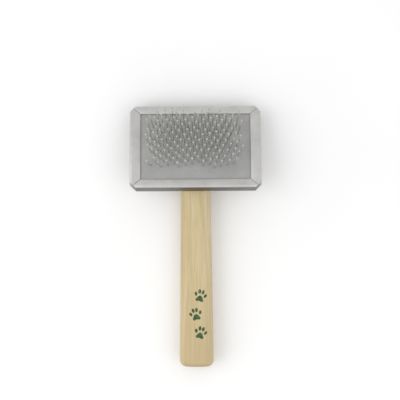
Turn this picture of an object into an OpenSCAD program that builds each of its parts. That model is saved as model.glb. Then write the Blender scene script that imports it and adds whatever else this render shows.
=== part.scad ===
// Small slicker brush for grooming pets.
// A pressed-steel tray clamps a cushioned pad full of fine wire pins with
// rounded soft tips. The tray is screwed to the sloping nose of a wooden
// handle, so the pins lean away from the hand.
//
// Millimetres. +Z is up and the pins point up, +Y runs from the handle's butt
// to the far end of the head, X runs across. The origin is on the flat back of
// the handle, under the middle of the whole brush.

/* [Handle] */
// Length of the bare handle, from its butt to the edge of the tray
handle_len = 79.2; // [60:0.1:120]
// Width of the handle at its butt
butt_w = 15.3; // [14:0.1:20]
// Width of the handle where it meets the tray
neck_w = 13.5; // [12:0.1:16]
// Thickness of the handle at its butt
butt_t = 12.6; // [11:0.1:16]
// Thickness of the handle where it meets the tray
neck_t = 11.6; // [11.4:0.1:14]
// Corner radius of the handle's cross-section
section_r = 4.4; // [3:0.1:5]
// Radius that softens the edge of the butt
butt_r = 3; // [1:0.1:3.4]
// Length of the nose under the tray, measured along the tray
nose_len = 32.5; // [28:0.5:34]

/* [Tray] */
// Width of the tray, across the handle
tray_w = 59; // [54:0.5:66]
// Length of the tray, along the handle
tray_l = 38.4; // [36:0.1:40]
// Depth of the tray from its back to the top of its lips
tray_d = 7; // [5.8:0.1:7.4]
// Thickness of the tray's sheet steel
sheet_t = 0.5; // [0.4:0.05:0.6]
// Width of the lips at the two short sides
lip_side = 4.7; // [4:0.1:5.2]
// Width of the lips at the two long sides
lip_end = 3.8; // [3:0.1:4]
// Outer radius of the folds
fold_r = 0.9; // [0.8:0.1:1.2]
// Size of the cut across each corner of the tray
corner_cut = 2.8; // [2:0.1:3.2]
// Width of the mitre gap between two lips
mitre_gap = 0.16; // [0.1:0.02:0.3]
// Slope of the tray against the handle, in degrees
tilt = 15; // [12:0.5:15.5]

/* [Pad] */
// Thickness of the grey rubber facing
facing_t = 0.7; // [0.5:0.1:0.9]
// Thickness of the woven cloth under the facing
cloth_t = 0.8; // [0.6:0.1:1]
// Height by which the middle of the pad bulges
bulge = 1.6; // [0.8:0.1:2]

/* [Pins] */
// Diameter of the pin wire
wire_d = 0.35; // [0.3:0.05:0.5]
// Height of the bend in each pin, above the pad
bend_h = 5; // [4:0.5:6]
// Length of each pin from its bend to the middle of its tip
upper_l = 5.4; // [4.5:0.1:6.5]
// Angle of the bend, away from the handle, in degrees
bend_a = 15; // [0:1:16]
// Outward lean of the pins at the short sides of the field, in degrees
fan_x = 10.5; // [0:0.5:12]
// Outward lean of the pins at the long sides of the field, in degrees
fan_y = 13.5; // [0:0.5:14]
// Natural scatter of the pins, in degrees
scatter = 2.2; // [0:0.2:2.6]
// Diameter of the rounded soft tip on each pin
tip_d = 0.9; // [0.8:0.05:1.2]

/* [Screws] */
// Diameter of the wood screws that hold the tray
screw_d = 2.4; // [2:0.1:2.6]
// Length of the screws under their heads
screw_l = 5.6; // [5:0.1:5.8]
// Diameter of the screw heads
screw_head = 4.6; // [4:0.1:5]

/* [Hidden] */
$fn = 48;

wood_c = [0.80, 0.73, 0.58];
steel_c = [0.76, 0.76, 0.74];
screw_c = [0.62, 0.62, 0.60];
foam_c = [0.55, 0.57, 0.60];
cloth_c = [0.72, 0.68, 0.58];
rubber_c = [0.62, 0.63, 0.64];
wire_c = [0.55, 0.55, 0.53];
tip_c = [0.90, 0.89, 0.85];

// The tray's near edge stands on the neck of the handle. far_y is how far the
// tray then reaches beyond it.
far_y = (tray_l - fold_r) * cos(tilt) + (tray_d - fold_r) * sin(tilt) + fold_r;
total_l = handle_len + far_y;
neck_y = handle_len - total_l / 2;
butt_y = neck_y - handle_len;

// Head coordinates: X across, Y up the slope of the tray from its middle,
// Z out of the pad, from the back of the tray.
screw_at = [[0, -11], [0, 0.5]];
wire_r = wire_d / 2;
win_x = tray_w / 2 - lip_side;
win_y = tray_l / 2 - lip_end;
pad_z = tray_d - sheet_t;
pad_x = tray_w / 2 - sheet_t - 0.1;
pad_y = tray_l / 2 - sheet_t - 0.1;

// Height of the facing's top over the pad: level under the lips, crowned between them.
function crown(s) = pow(max(0, 1 - s * s), 0.8);
function top_z(x, y) = pad_z + bulge * crown(x / win_x) * crown(y / win_y);

// Pins stand on a slanted grid. line_step goes from one line of staples to the
// next and leg_step from one leg to the next in a line. The field of pins
// reaches field_x and field_y each way from field_mid.
leg_step = [2.97, 0.66];
line_step = [-1.84, 1.53];
grid_0 = [0.07, -0.34];
field_x = 20.1;
field_y = 10.7;
field_mid = [-0.4, 0.4];
first_line = -6;

function foot(i, j) = grid_0 + i * line_step + j * leg_step;
function in_field(p) = abs(p[0] - field_mid[0]) <= field_x && abs(p[1] - field_mid[1]) <= field_y;
function legs_in(i) = [for (j = [-12:12]) if (in_field(foot(i, j))) j];
// A staple takes two legs, so a line with an odd number leaves out the leg at one end.
function pairs_in(i) =
    let (js = legs_in(i), n = floor(len(js) / 2), s = (len(js) % 2 == 1 && i % 2 != 0) ? 1 : 0)
    [for (k = [0:1:n - 1]) [js[2 * k + s], js[2 * k + 1 + s]]];

// A repeatable scatter between -1 and 1
function wob(i, j, k) = sin(i * 137.5 + j * 71.3 + k * 211.7) * cos(i * 59.1 - j * 163.9 + k * 37.3);
function lean(a, b) = [cos(a) * sin(b), sin(a), cos(a) * cos(b)];
function lean_y(i, j) = fan_y * (foot(i, j)[1] - field_mid[1]) / field_y + scatter * wob(i, j, 1);
// The outer pins splay more than the middle ones do
function lean_x(i, j) = let (s = foot(i, j)[0] / field_x) fan_x * (s + s * s * s) / 2 + scatter * wob(i, j, 2);
function low_dir(i, j) = lean(lean_y(i, j), lean_x(i, j));
function up_dir(i, j) = lean(lean_y(i, j) + bend_a, lean_x(i, j));
function skin(i, j) = let (p = foot(i, j)) [p[0], p[1], top_z(p[0], p[1])];
function root(i, j) = let (d = low_dir(i, j)) skin(i, j) - d * ((facing_t + cloth_t + wire_r) / d[2]);
function knee(i, j) = skin(i, j) + bend_h * low_dir(i, j);
function tip(i, j) = knee(i, j) + upper_l * up_dir(i, j);

// Puts the head on the slope of the handle's nose.
module on_head() {
    translate([0, neck_y, neck_t]) rotate([-tilt, 0, 0]) translate([0, tray_l / 2, 0]) children();
}

// ---------- handle ----------

// Four rounds that outline a cross-section of the handle, for hull()
module cross_section(w, t, r, y, lift = 0) {
    for (x = [-1, 1], z = [r + lift, t - r + lift])
        translate([x * (w / 2 - r), y, z]) rotate([90, 0, 0]) cylinder(r = r, h = 0.02, center = true, $fn = 32);
}

module handle() {
    nose_y = neck_y + nose_len * cos(tilt);
    color(wood_c) difference() {
        union() {
            // the grip, with a softened butt
            hull() {
                cross_section(neck_w, neck_t, section_r, neck_y);
                cross_section(butt_w, butt_t, section_r, butt_y + butt_r);
                cross_section(butt_w - butt_r * 0.16, butt_t - butt_r * 0.16, section_r, butt_y + butt_r * 0.6, butt_r * 0.08);
                cross_section(butt_w - butt_r * 0.58, butt_t - butt_r * 0.58, section_r - butt_r * 0.2, butt_y + butt_r * 0.29, butt_r * 0.29);
                cross_section(butt_w - butt_r * 1.24, butt_t - butt_r * 1.24, section_r - butt_r * 0.45, butt_y + butt_r * 0.08, butt_r * 0.62);
                cross_section(butt_w - butt_r * 2, butt_t - butt_r * 2, section_r - butt_r * 0.8, butt_y + 0.01, butt_r);
            }
            // the nose under the tray, round at its end; it starts inside the grip
            hull() {
                cross_section(neck_w, neck_t, section_r, neck_y - 1);
                cross_section(neck_w, neck_t, section_r, nose_y - neck_w / 2);
                translate([0, nose_y - neck_w / 2, 1.2]) cylinder(r = neck_w / 2, h = neck_t - 1.2, $fn = 48);
                translate([0, nose_y - neck_w / 2, 0]) cylinder(r = neck_w / 2 - 1.2, h = neck_t, $fn = 48);
            }
        }
        // slope that the tray lies on
        on_head() translate([-20, -tray_l / 2, 0]) cube([40, 80, 30]);
        // screw holes
        on_head() for (p = screw_at) translate([p[0], p[1], sheet_t - screw_l]) cylinder(d = screw_d, h = screw_l);
    }
}

// ---------- tray ----------

module cut_corners(w, l, c) {
    polygon([[-w / 2 + c, -l / 2], [w / 2 - c, -l / 2], [w / 2, -l / 2 + c], [w / 2, l / 2 - c],
             [w / 2 - c, l / 2], [-w / 2 + c, l / 2], [-w / 2, l / 2 - c], [-w / 2, -l / 2 + c]]);
}

// Rectangle with round corners, from true circles
module round_rect(w, h, r) {
    translate([-w / 2 + r, 0]) square([w - 2 * r, h]);
    translate([-w / 2, r]) square([w, h - 2 * r]);
    for (x = [-w / 2 + r, w / 2 - r], y = [r, h - r]) translate([x, y]) circle(r = r);
}

// A block with folded edges all round: plan, front and side outlines in common
module folded_block(w, l, h, r, c, z) {
    translate([0, 0, z]) intersection() {
        linear_extrude(height = h) cut_corners(w, l, c);
        rotate([90, 0, 0]) translate([0, 0, -l]) linear_extrude(height = 2 * l) round_rect(w, h, r);
        rotate([90, 0, 90]) translate([0, 0, -w]) linear_extrude(height = 2 * w) round_rect(l, h, r);
    }
}

module head_tray() {
    cx = tray_w / 2 - win_x;
    cy = tray_l / 2 - win_y;
    color(steel_c) on_head() difference() {
        folded_block(tray_w, tray_l, tray_d, fold_r, corner_cut, 0);
        folded_block(tray_w - 2 * sheet_t, tray_l - 2 * sheet_t, tray_d - 2 * sheet_t, fold_r - sheet_t, corner_cut - 0.3, sheet_t);
        // window between the lips
        translate([-win_x, -win_y, sheet_t * 2]) cube([2 * win_x, 2 * win_y, tray_d]);
        // mitre gaps between the lips
        for (sx = [-1, 1], sy = [-1, 1])
            translate([sx * win_x, sy * win_y, tray_d - sheet_t - 0.05]) rotate([0, 0, atan2(sy * cy, sx * cx)])
                translate([-0.5, -mitre_gap / 2, 0]) cube([norm([cx, cy]) - 1.1, mitre_gap, 1]);
        // screw holes
        for (p = screw_at) translate([p[0], p[1], -1]) cylinder(d = screw_d + 0.2, h = 3);
    }
}

// ---------- screws ----------

// Pan-head wood screw with a cross recess; its head rests at z = 0
module wood_screw() {
    turns = 6;
    pitch = 0.7;
    difference() {
        union() {
            cylinder(d = screw_head, h = 0.7);
            translate([0, 0, 0.7]) cylinder(d1 = screw_head, d2 = screw_head * 0.55, h = 0.8);
            // shank with thread rings and a point
            rotate_extrude() polygon(concat(
                [[0, 0], [screw_d * 0.5 - 0.02, 0], [screw_d * 0.5 - 0.02, -0.7]],
                [for (k = [0:turns - 1], s = [0:1]) s == 0 ? [screw_d * 0.36, -0.8 - k * pitch] : [screw_d * 0.5 - 0.02, -0.8 - (k + 0.5) * pitch]],
                [[screw_d * 0.3, -screw_l + 0.5], [0.1, -screw_l + 0.05], [0, -screw_l + 0.05]]));
        }
        for (a = [0, 90]) rotate([0, 0, a]) translate([-1.1, -0.24, 0.75]) cube([2.2, 0.48, 2]);
    }
}

module tray_screws() {
    color(screw_c) on_head() for (p = screw_at) translate([p[0], p[1], sheet_t]) rotate([0, 0, 30]) wood_screw();
}

// ---------- pad ----------

// A ply of the pad between drop_1 and drop_2 under the facing's top. With no
// drop_2 its underside is flat, at height flat_z.
gx = [-pad_x, for (k = [-8:8]) win_x * k / 8, pad_x];
gy = [-pad_y, for (k = [-5:5]) win_y * k / 5, pad_y];
module ply(drop_1, drop_2, flat_z = 0) {
    nx = len(gx);
    ny = len(gy);
    function id(s, i, j) = s * nx * ny + j * nx + i;
    pts = [for (s = [0, 1], j = [0:ny - 1], i = [0:nx - 1])
        [gx[i], gy[j], s == 0 ? top_z(gx[i], gy[j]) - drop_1 : drop_2 > 0 ? top_z(gx[i], gy[j]) - drop_2 : flat_z]];
    faces = concat(
        [for (j = [0:ny - 2], i = [0:nx - 2], k = [0, 1])
            k == 0 ? [id(0, i, j), id(0, i + 1, j + 1), id(0, i + 1, j)] : [id(0, i, j), id(0, i, j + 1), id(0, i + 1, j + 1)]],
        [for (j = [0:ny - 2], i = [0:nx - 2], k = [0, 1])
            k == 0 ? [id(1, i, j), id(1, i + 1, j), id(1, i + 1, j + 1)] : [id(1, i, j), id(1, i + 1, j + 1), id(1, i, j + 1)]],
        [for (i = [0:nx - 2]) [id(0, i, 0), id(0, i + 1, 0), id(1, i + 1, 0), id(1, i, 0)]],
        [for (i = [0:nx - 2]) [id(0, i + 1, ny - 1), id(0, i, ny - 1), id(1, i, ny - 1), id(1, i + 1, ny - 1)]],
        [for (j = [0:ny - 2]) [id(0, 0, j + 1), id(0, 0, j), id(1, 0, j), id(1, 0, j + 1)]],
        [for (j = [0:ny - 2]) [id(0, nx - 1, j), id(0, nx - 1, j + 1), id(1, nx - 1, j + 1), id(1, nx - 1, j)]]);
    difference() {
        polyhedron(pts, faces, convexity = 4);
        // corners cut to clear the tray's
        for (sx = [-1, 1], sy = [-1, 1]) translate([sx * pad_x, sy * pad_y, -1]) rotate([0, 0, 45])
            cube([corner_cut * 1.5, corner_cut * 1.5, 30], center = true);
        children();
    }
}

module foam_cushion() {
    // with the hollows that the screw heads press in
    color(foam_c) on_head() ply(facing_t + cloth_t + wire_d + 0.02, 0, sheet_t + 0.02)
        for (p = screw_at) translate([p[0], p[1], -1]) rotate([0, 0, 7]) cylinder(d = screw_head + 0.5, h = 1 + sheet_t + 1.7, $fn = 12);
}

module backing_cloth() {
    color(cloth_c) on_head() ply(facing_t, facing_t + cloth_t);
}

module rubber_facing() {
    color(rubber_c) on_head() ply(0.02, facing_t);
}

// ---------- pins ----------

// A bent wire through the points of path, eight-sided, with mitred bends
function unit(v) = v / norm(v);
function advance(ring, t, c, n) = [for (p = ring) p + t * (((c - p) * n) / (t * n))];
function rings(path, t, k, last) =
    k == len(path) - 1 ? [advance(last, t[k - 1], path[k], t[k - 1])]
    : let (next = advance(last, t[k - 1], path[k], unit(t[k - 1] + t[k]))) concat([next], rings(path, t, k + 1, next));
module wire(path, r) {
    t = [for (k = [0:len(path) - 2]) unit(path[k + 1] - path[k])];
    u = unit(cross(t[0], [0, 1, 0]));
    v = cross(t[0], u);
    start = [for (m = [0:7]) path[0] + r * (cos(45 * m + 22.5) * u + sin(45 * m + 22.5) * v)];
    all = concat([start], rings(path, t, 1, start));
    n = len(all);
    pts = [for (ring = all, p = ring) p];
    polyhedron(pts, concat(
        [for (k = [0:n - 2], m = [0:7]) [8 * k + m, 8 * k + 8 + m, 8 * k + 8 + (m + 1) % 8, 8 * k + (m + 1) % 8]],
        [[for (m = [0:7]) m]], [[for (m = [7:-1:0]) 8 * (n - 1) + m]]), convexity = 4);
}

// One line of staples. The crown of each lies between the cloth and the foam,
// and its two legs end in the middle of their tips.
module staple_line(i) {
    color(wire_c) on_head() for (p = pairs_in(i))
        wire([tip(i, p[0]), knee(i, p[0]), root(i, p[0]), root(i, p[1]), knee(i, p[1]), tip(i, p[1])], wire_r);
}

// Soft tip: a ball with a short skirt down the wire
module soft_tip(i, j) {
    d = up_dir(i, j);
    translate(tip(i, j)) rotate([0, acos(d[2]), atan2(d[1], d[0])]) difference() {
        union() {
            sphere(d = tip_d, $fn = 24);
            translate([0, 0, -tip_d * 0.86]) cylinder(r1 = wire_r + 0.07, r2 = tip_d * 0.42, h = tip_d * 0.6, $fn = 24);
        }
        translate([0, 0, -3]) cylinder(r = wire_r, h = 3, $fn = 24);
    }
}

module tip_line(i) {
    color(tip_c) on_head() for (p = pairs_in(i), j = p) soft_tip(i, j);
}

handle();
head_tray();
tray_screws();
foam_cushion();
backing_cloth();
rubber_facing();
staple_line(first_line);  // staples_01
staple_line(first_line + 1);  // staples_02
staple_line(first_line + 2);  // staples_03
staple_line(first_line + 3);  // staples_04
staple_line(first_line + 4);  // staples_05
staple_line(first_line + 5);  // staples_06
staple_line(first_line + 6);  // staples_07
staple_line(first_line + 7);  // staples_08
staple_line(first_line + 8);  // staples_09
staple_line(first_line + 9);  // staples_10
staple_line(first_line + 10);  // staples_11
staple_line(first_line + 11);  // staples_12
staple_line(first_line + 12);  // staples_13
staple_line(first_line + 13);  // staples_14
tip_line(first_line);  // pin_tips_01
tip_line(first_line + 1);  // pin_tips_02
tip_line(first_line + 2);  // pin_tips_03
tip_line(first_line + 3);  // pin_tips_04
tip_line(first_line + 4);  // pin_tips_05
tip_line(first_line + 5);  // pin_tips_06
tip_line(first_line + 6);  // pin_tips_07
tip_line(first_line + 7);  // pin_tips_08
tip_line(first_line + 8);  // pin_tips_09
tip_line(first_line + 9);  // pin_tips_10
tip_line(first_line + 10);  // pin_tips_11
tip_line(first_line + 11);  // pin_tips_12
tip_line(first_line + 12);  // pin_tips_13
tip_line(first_line + 13);  // pin_tips_14
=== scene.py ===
import math

import bmesh
import bpy
import numpy as np
from mathutils import Matrix, Vector

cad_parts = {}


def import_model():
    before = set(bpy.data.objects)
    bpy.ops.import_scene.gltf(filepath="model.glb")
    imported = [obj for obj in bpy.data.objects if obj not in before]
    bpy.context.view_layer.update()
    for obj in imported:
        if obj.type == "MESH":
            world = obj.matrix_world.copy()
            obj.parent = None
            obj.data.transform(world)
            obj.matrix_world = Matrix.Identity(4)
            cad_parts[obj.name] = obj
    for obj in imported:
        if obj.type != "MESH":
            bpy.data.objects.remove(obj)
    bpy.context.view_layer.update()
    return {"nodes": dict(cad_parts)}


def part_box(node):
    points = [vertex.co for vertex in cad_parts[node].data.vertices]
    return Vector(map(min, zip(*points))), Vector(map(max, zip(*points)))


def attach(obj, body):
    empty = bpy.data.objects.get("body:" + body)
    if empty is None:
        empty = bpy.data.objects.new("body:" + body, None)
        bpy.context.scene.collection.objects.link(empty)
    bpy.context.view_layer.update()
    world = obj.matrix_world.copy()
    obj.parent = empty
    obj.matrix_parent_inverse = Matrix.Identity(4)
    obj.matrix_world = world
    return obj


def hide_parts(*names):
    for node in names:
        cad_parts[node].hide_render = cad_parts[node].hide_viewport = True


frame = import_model()
MM = 0.001

# ------------------------------------------------------------------ sizes, in mm, as the design has them
TILT = math.radians(15)
TRAY_W, TRAY_L, TRAY_D, SHEET = 59.0, 38.4, 7.0, 0.5
LIP_SIDE, LIP_END = 4.7, 3.8
WIN_X, WIN_Y = TRAY_W / 2 - LIP_SIDE, TRAY_L / 2 - LIP_END
FOLD_R, CUT = 0.9, 2.8
NECK_T, NECK_W, BUTT_T, BUTT_W = 11.6, 13.5, 12.6, 15.3
SECTION_R, BUTT_R, NOSE = 4.4, 3.0, 32.5
PAD_X, PAD_Y = TRAY_W / 2 - SHEET - 0.1, TRAY_L / 2 - SHEET - 0.1
FACING_T, CLOTH_T, WIRE_R, TIP_R = 0.7, 0.8, 0.175, 0.45
BEND_H, UPPER_L, BEND_A = 5.0, 5.4, 15.0
FAN_X, FAN_Y, SCATTER = 10.5, 13.5, 2.2
LIP_DROP = 0.3  # how far the lips' inner edges are pressed down

# the tray's near edge, a given length up from the imported handle's butt
BUTT_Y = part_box("handle")[0][1] / MM
NECK_Y = BUTT_Y + 79.2


def head(x, y, n):
    """Head coordinates (across, up the slope, out of the pad) to the row frame, in mm."""
    u = y + TRAY_L / 2
    return np.array([x, NECK_Y + u * math.cos(TILT) + n * math.sin(TILT), NECK_T - u * math.sin(TILT) + n * math.cos(TILT)])


HEAD = Matrix.Translation((0, NECK_Y * MM, NECK_T * MM)) @ Matrix.Rotation(-TILT, 4, "X") @ Matrix.Translation((0, TRAY_L / 2 * MM, 0))


def to_head(v):
    """Row frame, in metres, to head coordinates in mm."""
    p = HEAD.inverted() @ Vector(v)
    return p / MM


# ------------------------------------------------------------------ helpers
def mesh_object(name, verts, faces, material, node=(), smooth=True, mm=True, weld=0.0):
    me = bpy.data.meshes.new(name)
    k = MM if mm else 1.0
    me.from_pydata([(float(v[0]) * k, float(v[1]) * k, float(v[2]) * k) for v in verts], [], [tuple(int(i) for i in f) for f in faces])
    me.validate()
    bm = bmesh.new()
    bm.from_mesh(me)
    if weld:
        bmesh.ops.remove_doubles(bm, verts=bm.verts, dist=weld)
    bmesh.ops.recalc_face_normals(bm, faces=bm.faces)
    bm.to_mesh(me)
    bm.free()
    if smooth:
        me.polygons.foreach_set("use_smooth", [True] * len(me.polygons))
    ob = bpy.data.objects.new(name, me)
    bpy.context.scene.collection.objects.link(ob)
    ob.data.materials.append(material)
    if node:
        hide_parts(*node)
    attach(ob, "root")
    return ob


def smooth_by_angle(ob, degrees):
    """Smooth shading with sharp edges above an angle."""
    me = ob.data
    bm = bmesh.new()
    bm.from_mesh(me)
    for e in bm.edges:
        e.smooth = not (len(e.link_faces) == 2 and e.calc_face_angle(0) > math.radians(degrees))
    bm.to_mesh(me)
    bm.free()


# ------------------------------------------------------------------ materials
class Mat:
    """A small builder for node materials. Coordinates are the object's own, in mm."""

    def __init__(self, name):
        self.m = bpy.data.materials.new(name)
        self.m.use_nodes = True
        self.nt = self.m.node_tree
        self.n = self.nt.nodes
        self.out = self.n["Material Output"]
        self.bsdf = self.n["Principled BSDF"]
        self.co = self.n.new("ShaderNodeTexCoord").outputs["Object"]

    def link(self, a, b):
        self.nt.links.new(a, b)
        return a

    def set(self, **values):
        for k, v in values.items():
            self.bsdf.inputs[k.replace("_", " ")].default_value = v

    def mapped(self, scale=(1, 1, 1), loc=(0, 0, 0), rot=(0, 0, 0), co=None):
        """The coordinates in mm, times scale."""
        m = self.n.new("ShaderNodeMapping")
        m.inputs["Scale"].default_value = [s * 1000 for s in scale]
        m.inputs["Location"].default_value = loc
        m.inputs["Rotation"].default_value = rot
        self.link(co or self.co, m.inputs["Vector"])
        return m.outputs[0]

    def noise(self, vec, scale=1.0, detail=2.0, rough=0.5, distortion=0.0):
        t = self.n.new("ShaderNodeTexNoise")
        t.inputs["Scale"].default_value = scale
        t.inputs["Detail"].default_value = detail
        t.inputs["Roughness"].default_value = rough
        t.inputs["Distortion"].default_value = distortion
        self.link(vec, t.inputs["Vector"])
        return t.outputs["Fac"]

    def voronoi(self, vec, scale=1.0, feature="F1", out="Distance"):
        t = self.n.new("ShaderNodeTexVoronoi")
        t.feature = feature
        t.inputs["Scale"].default_value = scale
        self.link(vec, t.inputs["Vector"])
        return t.outputs[out]

    def wave(self, vec, scale=1.0, direction="X", distortion=0.0, detail=0.0, dscale=1.0):
        t = self.n.new("ShaderNodeTexWave")
        t.bands_direction = direction
        t.inputs["Scale"].default_value = scale
        t.inputs["Distortion"].default_value = distortion
        t.inputs["Detail"].default_value = detail
        t.inputs["Detail Scale"].default_value = dscale
        self.link(vec, t.inputs["Vector"])
        return t.outputs["Fac"]

    def ramp(self, fac, stops, interpolation="LINEAR"):
        r = self.n.new("ShaderNodeValToRGB")
        r.color_ramp.interpolation = interpolation
        e = r.color_ramp.elements
        while len(e) < len(stops):
            e.new(0.5)
        for el, (p, c) in zip(e, stops):
            el.position = p
            el.color = (*c, 1) if len(c) == 3 else c
        self.link(fac, r.inputs["Fac"])
        return r.outputs["Color"]

    def math(self, op, a, b=None, clamp=False):
        m = self.n.new("ShaderNodeMath")
        m.operation = op
        m.use_clamp = clamp
        for i, v in enumerate((a, b)):
            if v is None:
                continue
            if isinstance(v, (int, float)):
                m.inputs[i].default_value = v
            else:
                self.link(v, m.inputs[i])
        return m.outputs[0]

    def remap(self, v, a, b, c, d, kind="LINEAR"):
        m = self.n.new("ShaderNodeMapRange")
        m.interpolation_type = kind
        self.link(v, m.inputs["Value"])
        for k, x in zip(("From Min", "From Max", "To Min", "To Max"), (a, b, c, d)):
            m.inputs[k].default_value = x
        return m.outputs["Result"]

    def mix(self, fac, a, b, kind="MIX"):
        m = self.n.new("ShaderNodeMix")
        m.data_type = "RGBA"
        m.blend_type = kind
        for sock, v in ((m.inputs[0], fac), (m.inputs[6], a), (m.inputs[7], b)):
            if isinstance(v, (int, float)):
                sock.default_value = v
            elif isinstance(v, (tuple, list)):
                sock.default_value = (*v, 1) if len(v) == 3 else v
            else:
                self.link(v, sock)
        return m.outputs[2]

    def bump(self, height, strength, distance_mm):
        b = self.n.new("ShaderNodeBump")
        b.inputs["Strength"].default_value = strength
        b.inputs["Distance"].default_value = distance_mm * MM
        self.link(height, b.inputs["Height"])
        self.link(b.outputs[0], self.bsdf.inputs["Normal"])
        return b

    def axis(self, which, co=None):
        s = self.n.new("ShaderNodeSeparateXYZ")
        self.link(co or self.co, s.inputs[0])
        return s.outputs[which]


def srgb(r, g, b):
    def f(c):
        c /= 255.0
        return c / 12.92 if c <= 0.04045 else ((c + 0.055) / 1.055) ** 2.4
    return (f(r), f(g), f(b))


# ---- pale varnished wood, with a printed trail of paws on the grip
def paw_shapes():
    """Ellipses (x, y, half width, half length, turn) in mm, of a trail of three paws up the grip."""
    shapes = []
    for cx, cy, turn in ((1.75, -43.4, -0.26), (-0.35, -35.1, 0.22), (1.75, -26.8, -0.26)):
        toes = [(-2.15, 0.55, 0.62, 0.92, 0.42), (-0.78, 1.95, 0.66, 1.02, 0.12), (0.78, 1.95, 0.66, 1.02, -0.12), (2.15, 0.55, 0.62, 0.92, -0.42)]
        pads = [(0.0, -1.15, 1.35, 1.15, 0.0), (-0.95, -1.75, 0.85, 0.72, 0.5), (0.95, -1.75, 0.85, 0.72, -0.5), (0.0, -0.75, 0.95, 1.0, 0.0)]
        for x, y, a, b, t in toes + pads:
            c, s = math.cos(turn), math.sin(turn)
            shapes.append((cx + c * x - s * y, cy + s * x + c * y, a, b, t + turn))
    return shapes


def wood():
    m = Mat("varnished_wood")
    slow = m.mapped((0.16, 0.012, 0.16))
    fine = m.mapped((1.9, 0.035, 1.9), loc=(3, 0, 1))
    hair = m.mapped((6.5, 0.09, 6.5), loc=(1, 5, 2))
    bands = m.noise(slow, 1.0, 3, 0.55, 0.6)
    grain = m.noise(fine, 1.0, 4, 0.6, 0.2)
    hairs = m.noise(hair, 1.0, 3, 0.6)
    base = m.ramp(bands, [(0.30, srgb(216, 202, 168)), (0.52, srgb(203, 187, 148)), (0.72, srgb(187, 167, 124))])
    darker = m.ramp(grain, [(0.30, srgb(232, 220, 196)), (0.62, (1, 1, 1))])
    col = m.mix(0.75, base, darker, "MULTIPLY")
    streak = m.ramp(hairs, [(0.28, srgb(214, 192, 154)), (0.44, (1, 1, 1))])
    col = m.mix(0.55, col, streak, "MULTIPLY")
    # short dark flecks of beech
    fleck_co = m.mapped((1.25, 0.34, 1.25), loc=(7, 2, 4))
    fleck = m.voronoi(fleck_co, 1.0)
    keep = m.noise(m.mapped((0.5, 0.2, 0.5), loc=(9, 9, 9)), 1.0, 1)
    mask = m.math("MULTIPLY", m.remap(fleck, 0.10, 0.17, 1, 0), m.remap(keep, 0.5, 0.58, 0, 1))
    col = m.mix(m.math("MULTIPLY", mask, 0.30), col, srgb(150, 118, 76))
    # the lower end is a little deeper in colour
    y = m.axis(1)
    deep = m.remap(y, -0.060, -0.012, 0.52, 0.0, "SMOOTHSTEP")
    col = m.mix(deep, col, srgb(182, 160, 117))
    # painted shade round the butt's rounded edge, with its end grain darker too
    col = m.mix(m.remap(y, (BUTT_Y + 0.3) * MM, (BUTT_Y + 2.1) * MM, 0.62, 0.0, "SMOOTHSTEP"), col, srgb(158, 134, 96))
    # the printed trail of paws, on the front only
    best = None
    for x, yy, a, b, t in paw_shapes():
        mp = m.n.new("ShaderNodeMapping")
        mp.vector_type = "TEXTURE"
        mp.inputs["Location"].default_value = (x * MM, yy * MM, 0)
        mp.inputs["Rotation"].default_value = (0, 0, t)
        mp.inputs["Scale"].default_value = (a * MM, b * MM, 1.0)
        m.link(m.co, mp.inputs["Vector"])
        flat = m.n.new("ShaderNodeVectorMath")
        flat.operation = "MULTIPLY"
        m.link(mp.outputs[0], flat.inputs[0])
        flat.inputs[1].default_value = (1, 1, 0)
        ln = m.n.new("ShaderNodeVectorMath")
        ln.operation = "LENGTH"
        m.link(flat.outputs[0], ln.inputs[0])
        best = ln.outputs["Value"] if best is None else m.math("MINIMUM", best, ln.outputs["Value"])
    wobble = m.math("MULTIPLY", m.math("SUBTRACT", m.noise(m.mapped((2.2, 2.2, 2.2)), 1.0, 2), 0.5), 0.10)
    ink = m.remap(m.math("ADD", best, wobble), 0.95, 1.04, 1, 0)
    front = m.remap(m.axis(2), 0.0085, 0.0095, 0, 1)
    wear = m.remap(m.noise(m.mapped((3.0, 0.35, 3.0), loc=(2, 2, 2)), 1.0, 3, 0.65), 0.34, 0.46, 0.45, 1.0)
    ink = m.math("MULTIPLY", m.math("MULTIPLY", ink, front), wear)
    ink_col = m.mix(m.noise(m.mapped((1.2, 0.6, 1.2)), 1.0, 2), srgb(20, 62, 24), srgb(40, 84, 36))
    col = m.mix(ink, col, ink_col)
    m.link(col, m.bsdf.inputs["Base Color"])
    rough = m.remap(grain, 0.3, 0.7, 0.40, 0.52)
    rough = m.math("ADD", rough, m.math("MULTIPLY", ink, 0.08))
    m.link(rough, m.bsdf.inputs["Roughness"])
    m.set(Coat_Weight=0.25, Coat_Roughness=0.28, Specular_IOR_Level=0.4)
    h = m.math("ADD", m.math("MULTIPLY", grain, 0.6), m.math("MULTIPLY", hairs, 0.4))
    h = m.math("SUBTRACT", h, m.math("MULTIPLY", mask, 0.3))
    m.bump(h, 0.35, 0.05)
    return m.m


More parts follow.
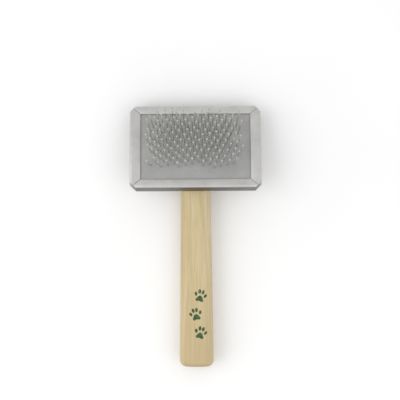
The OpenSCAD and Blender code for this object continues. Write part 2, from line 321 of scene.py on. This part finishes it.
# ---- plated steel sheet
def steel(name="plated_steel", tone=(0.60, 0.59, 0.575), rough=(0.30, 0.42), turn=0.0, painted_wall_shade=None):
    m = Mat(name)
    roll = m.mapped((0.08, 5.0, 5.0), rot=(0, 0, turn))
    cloud = m.mapped((0.12, 0.12, 0.12))
    lines = m.noise(roll, 1.0, 4, 0.6)
    clouds = m.noise(cloud, 1.0, 4, 0.6, 0.4)
    specks = m.noise(m.mapped((2.4, 2.4, 2.4), loc=(4, 4, 4)), 1.0, 3, 0.7)
    light = tuple(min(1, c * 1.07) for c in tone)
    dark = tuple(c * 0.90 for c in tone)
    col = m.ramp(clouds, [(0.32, dark), (0.66, light)])
    col = m.mix(m.remap(specks, 0.62, 0.74, 0.0, 0.22), col, tuple(c * 0.72 for c in tone))
    if painted_wall_shade:
        # painted shade: the walls round the tray are darkened against its lips and its back, the near one most,
        # standing in for the shadowed floor they reflect
        d = m.n.new("ShaderNodeVectorMath")
        d.operation = "DOT_PRODUCT"
        m.link(m.co, d.inputs[0])
        d.inputs[1].default_value = (0, math.sin(TILT) / MM, math.cos(TILT) / MM)
        n = m.math("SUBTRACT", d.outputs["Value"], NECK_Y * math.sin(TILT) + NECK_T * math.cos(TILT))
        wall_shade_mask = m.math("MULTIPLY", m.remap(n, 0.02, 0.55, 0, 1), m.remap(n, TRAY_D - 0.85, TRAY_D - 0.3, 1, 0))
        d = m.n.new("ShaderNodeVectorMath")
        d.operation = "DOT_PRODUCT"
        m.link(m.co, d.inputs[0])
        d.inputs[1].default_value = (0, math.cos(TILT) / MM, -math.sin(TILT) / MM)
        u = m.math("SUBTRACT", d.outputs["Value"], NECK_Y * math.cos(TILT) - NECK_T * math.sin(TILT))
        near = m.remap(u, 0.1, 3.2, 1, 0, "SMOOTHSTEP")
        shade = m.mix(near, (painted_wall_shade[0],) * 3, (painted_wall_shade[1],) * 3)
        col = m.mix(wall_shade_mask, col, m.mix(1.0, col, shade, "MULTIPLY"))
    m.link(col, m.bsdf.inputs["Base Color"])
    m.set(Metallic=1.0)
    r = m.math("ADD", m.remap(clouds, 0.3, 0.7, rough[0], rough[1]), m.math("MULTIPLY", m.math("SUBTRACT", lines, 0.5), 0.12))
    m.link(r, m.bsdf.inputs["Roughness"])
    m.bump(m.math("ADD", lines, m.math("MULTIPLY", specks, 0.35)), 0.12, 0.02)
    return m.m


# ---- grey rubber facing
def rubber():
    m = Mat("grey_rubber")
    fine = m.noise(m.mapped((5, 5, 5)), 1.0, 3, 0.65)
    cloud = m.noise(m.mapped((0.14, 0.14, 0.14), loc=(2, 7, 3)), 1.0, 3, 0.55)
    dust = m.noise(m.mapped((1.6, 1.6, 1.6), loc=(8, 1, 5)), 1.0, 4, 0.7)
    col = m.ramp(cloud, [(0.3, srgb(152, 152, 151)), (0.7, srgb(164, 164, 162))])
    col = m.mix(m.remap(fine, 0.35, 0.65, 0.0, 0.16), col, srgb(132, 132, 131))
    col = m.mix(m.remap(dust, 0.62, 0.78, 0.0, 0.22), col, srgb(182, 182, 180))
    m.link(col, m.bsdf.inputs["Base Color"])
    m.link(m.remap(fine, 0.3, 0.7, 0.55, 0.70), m.bsdf.inputs["Roughness"])
    m.set(Specular_IOR_Level=0.35, Sheen_Weight=0.08, Sheen_Roughness=0.5)
    m.bump(m.math("ADD", fine, m.math("MULTIPLY", dust, 0.5)), 0.3, 0.03)
    return m.m


# ---- pin wire
def wire_metal():
    m = Mat("pin_wire")
    cloud = m.noise(m.mapped((0.5, 0.5, 0.5)), 1.0, 3, 0.6)
    draw = m.noise(m.mapped((7, 7, 0.4)), 1.0, 3, 0.6)
    col = m.ramp(cloud, [(0.3, (0.47, 0.465, 0.45)), (0.7, (0.63, 0.625, 0.61))])
    m.link(col, m.bsdf.inputs["Base Color"])
    m.set(Metallic=1.0)
    m.link(m.remap(draw, 0.3, 0.7, 0.24, 0.38), m.bsdf.inputs["Roughness"])
    m.bump(draw, 0.15, 0.01)
    return m.m


# ---- milky soft tips
def tip_resin():
    m = Mat("soft_tip")
    cloud = m.noise(m.mapped((0.7, 0.7, 0.7)), 1.0, 2, 0.6)
    fine = m.noise(m.mapped((4, 4, 4)), 1.0, 2, 0.6)
    col = m.ramp(cloud, [(0.3, srgb(170, 168, 161)), (0.7, srgb(188, 186, 178))])
    m.link(col, m.bsdf.inputs["Base Color"])
    m.set(Subsurface_Weight=0.15, Subsurface_Radius=(0.6 * MM, 0.5 * MM, 0.4 * MM), Subsurface_Scale=1.0, Coat_Weight=0.2, Coat_Roughness=0.25)
    m.link(m.remap(fine, 0.3, 0.7, 0.28, 0.40), m.bsdf.inputs["Roughness"])
    m.bump(fine, 0.12, 0.02)
    return m.m


# ---- foam, cloth
def foam_mat():
    m = Mat("foam")
    cells = m.voronoi(m.mapped((2.6, 2.6, 2.6)), 1.0)
    cloud = m.noise(m.mapped((0.3, 0.3, 0.3)), 1.0, 2)
    # painted shade: each pore of the foam is darkened toward its centre
    col = m.mix(m.remap(cells, 0.1, 0.6, 0.5, 0), m.ramp(cloud, [(0.3, srgb(142, 146, 152)), (0.7, srgb(168, 171, 176))]), srgb(92, 96, 102))
    m.link(col, m.bsdf.inputs["Base Color"])
    m.link(m.remap(cells, 0.0, 0.6, 0.95, 0.8), m.bsdf.inputs["Roughness"])
    m.set(Sheen_Weight=0.2)
    m.bump(cells, 0.7, 0.2)
    return m.m


def cloth_mat():
    m = Mat("cloth")
    warp = m.wave(m.mapped((0.5, 0.5, 0.5)), 1.0, "X")
    weft = m.wave(m.mapped((0.5, 0.5, 0.5)), 1.0, "Y")
    weave = m.math("MULTIPLY", warp, weft)
    cloud = m.noise(m.mapped((0.4, 0.4, 0.4)), 1.0, 3)
    col = m.mix(m.remap(weave, 0.0, 0.7, 0.6, 0.0), m.ramp(cloud, [(0.3, srgb(196, 184, 152)), (0.7, srgb(214, 204, 176))]), srgb(140, 126, 96))
    m.link(col, m.bsdf.inputs["Base Color"])
    m.link(m.remap(weave, 0, 1, 0.95, 0.82), m.bsdf.inputs["Roughness"])
    m.set(Sheen_Weight=0.25)
    m.bump(weave, 0.6, 0.08)
    return m.m


# the steel's two wall values are painted shade: the side walls darkened a little, the near wall much more
WOOD, STEEL, RUBBER, WIRE, TIP = wood(), steel(painted_wall_shade=(0.50, 0.25)), rubber(), wire_metal(), tip_resin()
FOAM, CLOTH = foam_mat(), cloth_mat()
ZINC = steel("screw_steel", (0.52, 0.52, 0.50), (0.30, 0.45))

# ------------------------------------------------------------------ camera
cam_data = bpy.data.cameras.new("camera")
cam = bpy.data.objects.new("camera", cam_data)
bpy.context.scene.collection.objects.link(cam)
bpy.context.scene.camera = cam
cam_data.sensor_fit = "HORIZONTAL"
cam_data.sensor_width = 36.0
cam_data.lens = 36.0 / (2 * math.tan(math.radians(17.397) / 2))
cam_data.clip_start, cam_data.clip_end = 0.01, 10
cam.location = (0.001885, 0.016410, 0.600)
cam.rotation_euler = (0, 0, math.radians(-0.383))


# ------------------------------------------------------------------ handle
def rounded(w, t, r, lift, arc=12, flat=9, crown=0.9):
    """Points of a rounded rectangle, anticlockwise in X and Z, centred on X and standing at lift; its front is crowned by that much."""
    r = min(r, w / 2 - 1e-3, t / 2 - 1e-3)
    corners = [(w / 2 - r, lift + t - r, 0), (-w / 2 + r, lift + t - r, 90), (-w / 2 + r, lift + r, 180), (w / 2 - r, lift + r, 270)]
    pts = []
    for k, (cx, cz, a0) in enumerate(corners):
        for i in range(arc + 1):
            a = math.radians(a0 + 90 * i / arc)
            pts.append((cx + r * math.cos(a), cz + r * math.sin(a)))
        nx, nz, na = corners[(k + 1) % 4]
        a = math.radians(na)
        end = (nx + r * math.cos(a), nz + r * math.sin(a))
        last = pts[-1]
        for i in range(1, flat):
            f = i / flat
            pts.append((last[0] + (end[0] - last[0]) * f, last[1] + (end[1] - last[1]) * f))
    out = []
    for x, z in pts:
        front = max(0.0, (z - lift - t * 0.5) / (t * 0.5))
        z -= crown * front ** 2.5 * min(1, abs(x) / (w / 2)) ** 2
        out.append((x, z))
    return out


def cut_flat(verts, faces, point, normal):
    """A closed mesh in mm with everything past the plane taken off and the cut closed by a flat face."""
    bm = bmesh.new()
    vs = [bm.verts.new(tuple(float(c) for c in v)) for v in verts]
    for f in faces:
        bm.faces.new([vs[i] for i in f])
    bmesh.ops.remove_doubles(bm, verts=bm.verts[:], dist=2e-4)
    bmesh.ops.recalc_face_normals(bm, faces=bm.faces[:])
    bmesh.ops.bisect_plane(bm, geom=bm.verts[:] + bm.edges[:] + bm.faces[:], dist=1e-3, plane_co=point, plane_no=normal, clear_outer=True)
    bmesh.ops.holes_fill(bm, edges=[e for e in bm.edges if e.is_boundary], sides=0)
    bmesh.ops.triangulate(bm, faces=[f for f in bm.faces if len(f.verts) > 4])
    bmesh.ops.dissolve_degenerate(bm, edges=bm.edges[:], dist=2e-4)
    bm.verts.index_update()
    out = [tuple(v.co) for v in bm.verts], [tuple(v.index for v in f.verts) for f in bm.faces]
    bm.free()
    return out


def build_handle():
    rings = []
    # butt, softened
    for i in range(9):
        a = math.radians(90 * i / 8)
        ins = BUTT_R * (1 - math.sin(a))
        rings.append((BUTT_Y + BUTT_R * (1 - math.cos(a)), BUTT_W - 2 * ins, BUTT_T - 2 * ins, max(SECTION_R - 0.75 * ins, 1.0), ins))
    n = 44
    y0, y1 = BUTT_Y + BUTT_R, NECK_Y
    for i in range(1, n + 1):
        f = i / n
        rings.append((y0 + (y1 - y0) * f, BUTT_W + (NECK_W - BUTT_W) * f, BUTT_T + (NECK_T - BUTT_T) * f, SECTION_R, 0.0))
    # nose, with a round end
    end = NECK_Y + NOSE * math.cos(TILT)
    yc, rr = end - NECK_W / 2, NECK_W / 2
    for i in range(1, 15):
        rings.append((NECK_Y + (yc - NECK_Y) * i / 14, NECK_W, NECK_T, SECTION_R, 0.0))
    for i in range(1, 15):
        a = math.radians(88 * i / 14)
        half = rr * math.cos(a)
        rings.append((yc + rr * math.sin(a), 2 * half, NECK_T, min(SECTION_R, half * 0.9), 1.3 * (1 - math.cos(a)) ** 2))
    verts, faces = [], []
    count = None
    for y, w, t, r, lift in rings:
        up = max(0.0, min(1.0, (NECK_Y - y) / 14.0))
        pts = rounded(w, t, r, lift, crown=0.25 + 0.75 * up * up * (3 - 2 * up))
        count = len(pts)
        for x, z in pts:
            verts.append((x, y, z))
    for k in range(len(rings) - 1):
        for i in range(count):
            j = (i + 1) % count
            faces.append((k * count + i, (k + 1) * count + i, (k + 1) * count + j, k * count + j))

    def cap(k, outward):
        ring = [k * count + i for i in range(count)]
        centre = np.mean([verts[i] for i in ring], axis=0)
        prev = ring
        for s in (0.66, 0.33):
            cur = []
            for i in ring:
                verts.append(tuple(centre + (np.array(verts[i]) - centre) * s))
                cur.append(len(verts) - 1)
            for i in range(count):
                j = (i + 1) % count
                faces.append((prev[i], prev[j], cur[j], cur[i]))
            prev = cur
        verts.append(tuple(centre))
        c = len(verts) - 1
        for i in range(count):
            faces.append((prev[i], prev[(i + 1) % count], c))

    cap(0, -1)
    cap(len(rings) - 1, 1)
    # the nose's sloping face, cut to lie under the tray's back
    verts, faces = cut_flat(verts, faces, (0, NECK_Y, NECK_T - 0.01), (0, math.sin(TILT), math.cos(TILT)))
    ob = mesh_object("wooden_handle", verts, faces, WOOD, ["handle"])
    smooth_by_angle(ob, 40)
    return ob


build_handle()


# ------------------------------------------------------------------ tray
def build_tray():
    """The folded tray: the design's own sheet, welded, its lips pressed down onto the pad and its cut edges softened."""
    src = frame["nodes"]["head_tray"]
    bm = bmesh.new()
    bm.from_mesh(src.data)
    bmesh.ops.remove_doubles(bm, verts=bm.verts, dist=1e-6)
    bmesh.ops.dissolve_limit(bm, angle_limit=math.radians(1.0), verts=bm.verts, edges=bm.edges)
    for v in bm.verts:
        p = to_head(v.co)
        if p.z > TRAY_D - SHEET - 0.2:
            dx = (TRAY_W / 2 - FOLD_R - abs(p.x)) / (LIP_SIDE - FOLD_R)
            dy = (TRAY_L / 2 - FOLD_R - abs(p.y)) / (LIP_END - FOLD_R)
            f = max(0.0, min(1.0, min(dx, dy)))
            p.z -= LIP_DROP * f
            v.co = HEAD @ (p * MM)
    sharp = [e for e in bm.edges if len(e.link_faces) == 2 and e.calc_face_angle(0) > math.radians(40)]
    bmesh.ops.bevel(bm, geom=sharp, offset=0.11 * MM, segments=2, profile=0.6, affect="EDGES", clamp_overlap=True)
    bmesh.ops.triangulate(bm, faces=[f for f in bm.faces if len(f.verts) > 4])
    bmesh.ops.recalc_face_normals(bm, faces=bm.faces)
    me = bpy.data.meshes.new("steel_tray")
    bm.to_mesh(me)
    bm.free()
    me.polygons.foreach_set("use_smooth", [True] * len(me.polygons))
    ob = bpy.data.objects.new("steel_tray", me)
    bpy.context.scene.collection.objects.link(ob)
    me.materials.append(STEEL)
    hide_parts("head_tray")
    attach(ob, "root")
    smooth_by_angle(ob, 30)
    return ob


build_tray()

# ------------------------------------------------------------------ the pin grid, by the design's own rules
LEG, LINE, GRID0 = np.array([2.97, 0.66]), np.array([-1.84, 1.53]), np.array([0.07, -0.34])
FIELD_X, FIELD_Y, FIELD_MID = 20.1, 10.7, (-0.4, 0.4)


def foot(i, j):
    return GRID0 + i * LINE + j * LEG


def pairs(i):
    js = [j for j in range(-12, 13) if abs(foot(i, j)[0] - FIELD_MID[0]) <= FIELD_X and abs(foot(i, j)[1] - FIELD_MID[1]) <= FIELD_Y]
    s = 1 if len(js) % 2 == 1 and i % 2 != 0 else 0
    return [(js[2 * k + s], js[2 * k + 1 + s]) for k in range(len(js) // 2)]


def sind(a):
    return math.sin(math.radians(a))


def cosd(a):
    return math.cos(math.radians(a))


def wob(i, j, k):
    return sind(i * 137.5 + j * 71.3 + k * 211.7) * cosd(i * 59.1 - j * 163.9 + k * 37.3)


def lean(a, b):
    return np.array([cosd(a) * sind(b), sind(a), cosd(a) * cosd(b)])


def leans(i, j):
    p = foot(i, j)
    s = p[0] / FIELD_X
    return FAN_Y * (p[1] - FIELD_MID[1]) / FIELD_Y + SCATTER * wob(i, j, 1), FAN_X * (s + s ** 3) / 2 + SCATTER * wob(i, j, 2)


def crown(s):
    return max(0.0, 1 - s * s) ** 0.8


def cad_top(x, y):
    return TRAY_D - SHEET + 1.6 * crown(x / WIN_X) * crown(y / WIN_Y)


def leg_points(i, j):
    """root, skin, knee and tip of a leg, in head coordinates"""
    a, b = leans(i, j)
    low, up = lean(a, b), lean(a + BEND_A, b)
    x, y = foot(i, j)
    skin = np.array([x, y, cad_top(x, y)])
    root = skin - low * ((FACING_T + CLOTH_T + WIRE_R) / low[2])
    knee = skin + BEND_H * low
    return root, skin, knee, knee + UPPER_L * up, up


LINES = list(range(-6, 8))
FEET = [foot(i, j) for i in LINES for p in pairs(i) for j in p]


# ------------------------------------------------------------------ pad
def pad_top(x, y):
    """Height of the visual facing: pinched under the lips' edges and full between them."""
    low = TRAY_D - SHEET - LIP_DROP - 0.06
    base = cad_top(x, y)
    cx = max(0.0, 1 - (x / WIN_X) ** 2)
    cy = max(0.0, 1 - (y / WIN_Y) ** 2)
    rise = (1 - math.exp(-6.0 * cx)) * (1 - math.exp(-5.0 * cy))
    # under the lips the facing follows their slope
    if abs(x) >= WIN_X or abs(y) >= WIN_Y:
        dx = (TRAY_W / 2 - FOLD_R - abs(x)) / (LIP_SIDE - FOLD_R)
        dy = (TRAY_L / 2 - FOLD_R - abs(y)) / (LIP_END - FOLD_R)
        return TRAY_D - SHEET - 0.06 - LIP_DROP * max(0.0, min(1.0, min(dx, dy)))
    return low + (base - 0.02 - low) * rise


def grid_solid(name, nx, ny, top, bottom, material, node, inset=0.0, round_side=0.0):
    """A closed ply over the pad's plan, with cut corners, between two height functions."""
    px, py = PAD_X - inset, PAD_Y - inset
    xs, ys = np.linspace(-px, px, nx), np.linspace(-py, py, ny)
    c = 2.8 * 1.5 / math.sqrt(2) * 0.75

    def plan(x, y):
        # pull the corners in along the tray's cut corners
        over = abs(x) + abs(y) - (px + py - c)
        if over > 0:
            x -= math.copysign(over / 2, x)
            y -= math.copysign(over / 2, y)
        return x, y

    verts, faces = [], []
    for layer, f in ((0, top), (1, bottom)):
        for y in ys:
            for x in xs:
                qx, qy = plan(x, y)
                verts.append(head(qx, qy, f(qx, qy)))
    N = nx * ny
    for j in range(ny - 1):
        for i in range(nx - 1):
            a = j * nx + i
            faces.append((a, a + 1, a + nx + 1, a + nx))
            faces.append((N + a, N + a + nx, N + a + nx + 1, N + a + 1))
    for i in range(nx - 1):
        for a, s in ((i, 1), ((ny - 1) * nx + i, -1)):
            q = (a, a + 1, N + a + 1, N + a)
            faces.append(q if s < 0 else q[::-1])
    for j in range(ny - 1):
        for a, s in ((j * nx, -1), (j * nx + nx - 1, 1)):
            q = (a, a + nx, N + a + nx, N + a)
            faces.append(q if s < 0 else q[::-1])
    ob = mesh_object(name, verts, faces, material, node)
    smooth_by_angle(ob, 50)
    return ob


CELL = 2.0
NEAR = {}
for p in FEET:
    NEAR.setdefault((int(math.floor(p[0] / CELL)), int(math.floor(p[1] / CELL))), []).append(p)


def facing_top(x, y):
    z = pad_top(x, y)
    if abs(x) < WIN_X and abs(y) < WIN_Y:
        ci, cj = int(math.floor(x / CELL)), int(math.floor(y / CELL))
        for di in (-1, 0, 1):
            for dj in (-1, 0, 1):
                for p in NEAR.get((ci + di, cj + dj), ()):
                    d = math.hypot(x - p[0], y - p[1])
                    z -= 0.16 * math.exp(-((d / 0.42) ** 2))
                    z += 0.05 * math.exp(-(((d - 0.75) / 0.28) ** 2))
        z += 0.03 * math.sin(x * 0.9 + 0.4 * y) * math.sin(y * 1.1 - 0.3 * x)
        z = min(z, cad_top(x, y) + 0.1)
    return z


NX, NY = ((236, 150))
facing = grid_solid("rubber_facing_skin", NX, NY, facing_top, lambda x, y: pad_top(x, y) - FACING_T + 0.03, RUBBER, ["rubber_facing"])
cloth = grid_solid("backing_cloth_sheet", 120, 78, lambda x, y: pad_top(x, y) - FACING_T - 0.02 + 0.03 * math.sin(4.2 * x) * math.sin(4.2 * y),
                   lambda x, y: pad_top(x, y) - FACING_T - CLOTH_T + 0.1 + 0.03 * math.sin(4.2 * x) * math.sin(4.2 * y), CLOTH, ["backing_cloth"], 0.05)
SCREWS = ((0, -11), (0, 0.5))


def foam_bottom(x, y):
    z = SHEET + 0.04
    for sx, sy in SCREWS:
        d = math.hypot(x - sx, y - sy)
        z += 1.75 / (1 + math.exp((d - 2.75) / 0.16))
    return z


foam = grid_solid("foam_pad", 110, 74, lambda x, y: pad_top(x, y) - FACING_T - CLOTH_T - 2 * WIRE_R + 0.02 * math.sin(5.1 * x + 1) * math.sin(4.7 * y), foam_bottom, FOAM, ["foam_cushion"], 0.1)


# ------------------------------------------------------------------ pins
def bezier(p0, p1, p2, n):
    return [(1 - t) ** 2 * p0 + 2 * t * (1 - t) * p1 + t * t * p2 for t in np.linspace(0, 1, n)]


def rounded_path(points, radii, steps):
    """The path through the points, each inner corner rounded by a curve that starts radii[k] before it."""
    out = [points[0]]
    for k in range(1, len(points) - 1):
        p, a, b = points[k], points[k - 1], points[k + 1]
        ua, ub = (a - p) / np.linalg.norm(a - p), (b - p) / np.linalg.norm(b - p)
        out += bezier(p + ua * radii[k - 1], p, p + ub * radii[k - 1], steps[k - 1])
    out.append(points[-1])
    return out


def tube(path, r, sides, verts, faces):
    path = [np.asarray(p, float) for p in path]
    n = len(path)
    tan = [path[min(k + 1, n - 1)] - path[max(k - 1, 0)] for k in range(n)]
    tan = [t / np.linalg.norm(t) for t in tan]
    u = np.cross(tan[0], [0, 1, 0.13])
    u /= np.linalg.norm(u)
    base = len(verts)
    for k in range(n):
        u = u - tan[k] * np.dot(u, tan[k])
        u /= np.linalg.norm(u)
        v = np.cross(tan[k], u)
        for m in range(sides):
            a = 2 * math.pi * m / sides
            verts.append(path[k] + r * (math.cos(a) * u + math.sin(a) * v))
    for k in range(n - 1):
        for m in range(sides):
            a, b = base + k * sides + m, base + k * sides + (m + 1) % sides
            faces.append((a, b, b + sides, a + sides))
    faces.append(tuple(base + m for m in range(sides))[::-1])
    faces.append(tuple(base + (n - 1) * sides + m for m in range(sides)))


def world(points):
    return [head(*p) for p in points]


def lathe(centre, axis, profile, sides, verts, faces):
    """A closed solid of revolution; profile is (radius, height) from one pole to the other."""
    axis = axis / np.linalg.norm(axis)
    u = np.cross(axis, [0.2, 1, 0])
    u /= np.linalg.norm(u)
    v = np.cross(axis, u)
    base = len(verts)
    verts.append(centre + axis * profile[0][1])
    for r, h in profile[1:-1]:
        for m in range(sides):
            a = 2 * math.pi * m / sides
            verts.append(centre + axis * h + r * (math.cos(a) * u + math.sin(a) * v))
    verts.append(centre + axis * profile[-1][1])
    last = len(verts) - 1
    n = len(profile) - 2
    for m in range(sides):
        q = (m + 1) % sides
        faces.append((base, base + 1 + q, base + 1 + m))
        for k in range(n - 1):
            a = base + 1 + k * sides
            faces.append((a + m, a + q, a + sides + q, a + sides + m))
        a = base + 1 + (n - 1) * sides
        faces.append((a + m, a + q, last))


def tip_profile():
    """Drop of soft resin: a thin skirt up the wire that swells into the ball. Starts and ends on the axis."""
    pts = [(0.0, -1.0), (WIRE_R + 0.015, -1.0), (WIRE_R + 0.05, -0.92), (WIRE_R + 0.07, -0.75), (0.73 * TIP_R, -1.1 * TIP_R)]
    for a in (-42, -25, -8, 8, 24, 40, 56, 72):
        pts.append((TIP_R * cosd(a), TIP_R * sind(a)))
    pts.append((0.0, TIP_R))
    return pts


PROFILE = tip_profile()
for num, i in enumerate(LINES, 1):
    wv, wf, tv, tf = [], [], [], []
    for a, b in pairs(i):
        ra, sa, ka, ta, ua = leg_points(i, a)
        rb, sb, kb, tb, ub = leg_points(i, b)
        path = rounded_path([ta, ka, ra, rb, kb, tb], (1.5, 0.45, 0.45, 1.5), (7, 6, 6, 7))
        tube(world(path), WIRE_R, 10, wv, wf)
        for t, d in ((ta, ua), (tb, ub)):
            w0, w1 = head(*t), head(*(t + d))
            lathe(w0, w1 - w0, PROFILE, 14, tv, tf)
    mesh_object(f"staples_{num:02d}_wires", wv, wf, WIRE, [f"staples_{num:02d}"])
    mesh_object(f"pin_tips_{num:02d}_drops", tv, tf, TIP, [f"pin_tips_{num:02d}"])

# ------------------------------------------------------------------ screws keep their design mesh
screws = frame["nodes"]["tray_screws"]
screws.data.materials.clear()
screws.data.materials.append(ZINC)

# ------------------------------------------------------------------ stage and light
fm = Mat("floor")
fm.link(fm.ramp(fm.noise(fm.mapped((0.01, 0.01, 0.01)), 1.0, 2), [(0.3, (0.90, 0.90, 0.90)), (0.7, (0.93, 0.93, 0.93))]), fm.bsdf.inputs["Base Color"])
fm.set(Roughness=0.9, Specular_IOR_Level=0.1)
fv = [(-3000, -3000, -0.02), (3000, -3000, -0.02), (3000, 3000, -0.02), (-3000, 3000, -0.02)]
fme = bpy.data.meshes.new("floor")
fme.from_pydata([tuple(c * MM for c in v) for v in fv], [], [(0, 1, 2, 3)])
floor = bpy.data.objects.new("floor", fme)
bpy.context.scene.collection.objects.link(floor)
floor.data.materials.append(fm.m)

w = bpy.data.worlds.new("studio")
bpy.context.scene.world = w
w.use_nodes = True
w.node_tree.nodes["Background"].inputs["Color"].default_value = (1, 1, 1, 1)
w.node_tree.nodes["Background"].inputs["Strength"].default_value = 0.84


def area(name, loc, target, size, power, size_y=None):
    d = bpy.data.lights.new(name, "AREA")
    d.shape = "RECTANGLE"
    d.size, d.size_y = size, size_y or size
    d.energy = power
    o = bpy.data.objects.new(name, d)
    o.location = loc
    o.rotation_euler = (Vector(target) - Vector(loc)).to_track_quat("-Z", "Y").to_euler()
    bpy.context.scene.collection.objects.link(o)


area("key", (-0.75, -0.1, 0.7), (0, 0, 0), 0.9, 3.6)
area("fill", (0.55, -0.35, 0.85), (0, 0, 0), 0.9, 1.6)

scene = bpy.context.scene
scene.view_settings.view_transform = "Standard"
scene.view_settings.look = "None"
scene.view_settings.exposure = 0.0
scene.view_settings.gamma = 1.0
